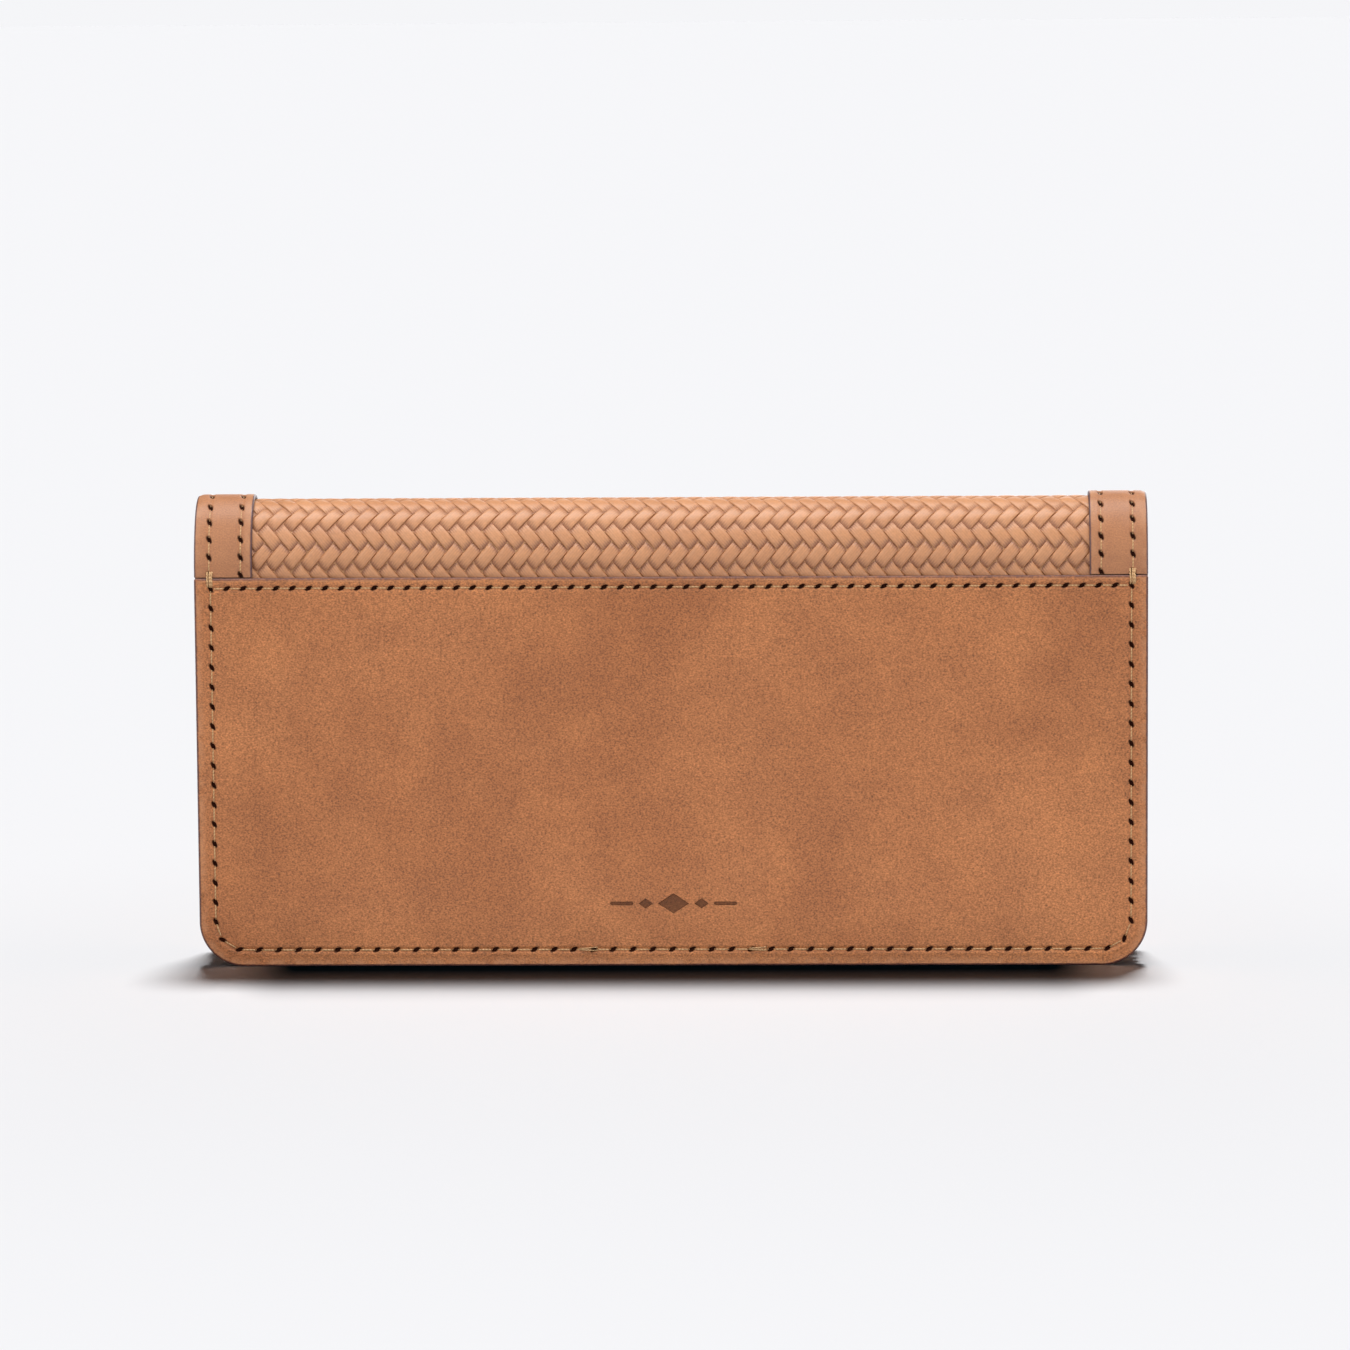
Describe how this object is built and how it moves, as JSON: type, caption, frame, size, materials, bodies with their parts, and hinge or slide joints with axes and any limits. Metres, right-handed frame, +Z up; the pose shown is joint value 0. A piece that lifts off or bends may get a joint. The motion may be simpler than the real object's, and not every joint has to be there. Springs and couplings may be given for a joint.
{
  "type": "long wallet",
  "caption": "Long wallet: woven leather flap over a folded spine to a snap, plain back panel, stepped card slots, gusseted note compartment and zipped coin pocket.",
  "frame": {"origin": "centre of the base that the wallet stands on, snap cap included in the depth", "axes": "+X along the length, +Y from the plain back panel to the flap's snap, +Z up from the lower edge to the spine fold"},
  "size_m": [0.19, 0.0228, 0.0943],
  "materials": {
    "back_leather": "tan leather with a fine, mottled, lightly brushed grain and dark burnished edges",
    "trim_leather": "smooth tan leather, a little paler than the back panel",
    "woven_leather": "tan leather strips woven over and under at 45 degrees, satin",
    "lining_leather": "thin matt split leather",
    "card_leather": "thin smooth tan leather",
    "stiffener_board": "pressed leather fibre board, raw",
    "thread": "waxed olive-tan thread, sunk in its seam",
    "zip_tape": "brown woven zip tape",
    "brass": "antique brass, satin"
  },
  "bodies": {
    "shell": {"back_panel": "back_leather", "back_panel_thread": "thread", "top_seam_thread": "thread", "back_stiffener": "stiffener_board", "woven_back": "woven_leather", "back_lining": "lining_leather", "trim_left_back": "trim_leather", "trim_right_back": "trim_leather", "card_slot_1": "card_leather", "card_slot_2": "card_leather", "card_slot_3": "card_leather", "card_slot_4": "card_leather", "card_divider_thread": "thread", "gusset_left": "lining_leather", "gusset_right": "lining_leather", "bottom_gusset": "lining_leather"},
    "spine_link_1": {"woven_spine_1": "woven_leather", "lining_spine_1": "lining_leather", "trim_left_spine_1": "trim_leather", "trim_right_spine_1": "trim_leather"},
    "spine_link_2": {"woven_spine_2": "woven_leather", "lining_spine_2": "lining_leather", "trim_left_spine_2": "trim_leather", "trim_right_spine_2": "trim_leather"},
    "spine_link_3": {"woven_spine_3": "woven_leather", "lining_spine_3": "lining_leather", "trim_left_spine_3": "trim_leather", "trim_right_spine_3": "trim_leather"},
    "flap": {"woven_front": "woven_leather", "flap_lining": "lining_leather", "trim_left_front": "trim_leather", "trim_right_front": "trim_leather", "flap_band": "trim_leather", "band_stiffener": "stiffener_board", "band_thread": "thread", "snap_cap": "brass", "snap_socket": "brass"},
    "front": {"front_panel": "back_leather", "front_panel_thread": "thread", "pocket_lining": "lining_leather", "zip_thread": "thread", "zip_tape_upper": "zip_tape", "zip_tape_lower": "zip_tape", "zip_teeth_upper": "brass", "zip_teeth_lower": "brass", "zip_stop_left": "brass", "zip_stop_right": "brass", "snap_stud": "brass", "snap_post": "brass"},
    "slider": {"zip_slider": "brass"},
    "pull": {"zip_pull": "brass"}
  },
  "joints": [
    {"name": "spine_fold_1", "type": "hinge", "parent": "shell", "child": "spine_link_1", "pos_m": [0, -0.00939, 0.0873], "axis": [1, 0, 0], "range_deg": [0, 45]},
    {"name": "spine_fold_2", "type": "hinge", "parent": "spine_link_1", "child": "spine_link_2", "pos_m": [0, -0.00363, 0.09376], "axis": [1, 0, 0], "range_deg": [0, 45]},
    {"name": "spine_fold_3", "type": "hinge", "parent": "spine_link_2", "child": "spine_link_3", "pos_m": [0, 0.00173, 0.09376], "axis": [1, 0, 0], "range_deg": [0, 45]},
    {"name": "spine_fold_4", "type": "hinge", "parent": "spine_link_3", "child": "flap", "pos_m": [0, 0.00749, 0.0873], "axis": [1, 0, 0], "range_deg": [0, 45]},
    {"name": "compartment_open", "type": "hinge", "parent": "shell", "child": "front", "pos_m": [0, 0.00395, 0], "axis": [-1, 0, 0], "range_deg": [0, 12]},
    {"name": "zip_slide", "type": "slide", "parent": "front", "child": "slider", "axis": [1, 0, 0], "range_m": [-0.132, 0]},
    {"name": "pull_swing", "type": "hinge", "parent": "slider", "child": "pull", "pos_m": [0.066, 0.00465, 0.057], "axis": [0, 1, 0], "range_deg": [-100, 100]}
  ],
  "couplings": [
    {"joint": "spine_fold_2", "follows": "spine_fold_1", "ratio": 1},
    {"joint": "spine_fold_3", "follows": "spine_fold_1", "ratio": 1},
    {"joint": "spine_fold_4", "follows": "spine_fold_1", "ratio": 1},
    {"joint": "compartment_open", "follows": "spine_fold_1", "ratio": 0.2666}
  ]
}
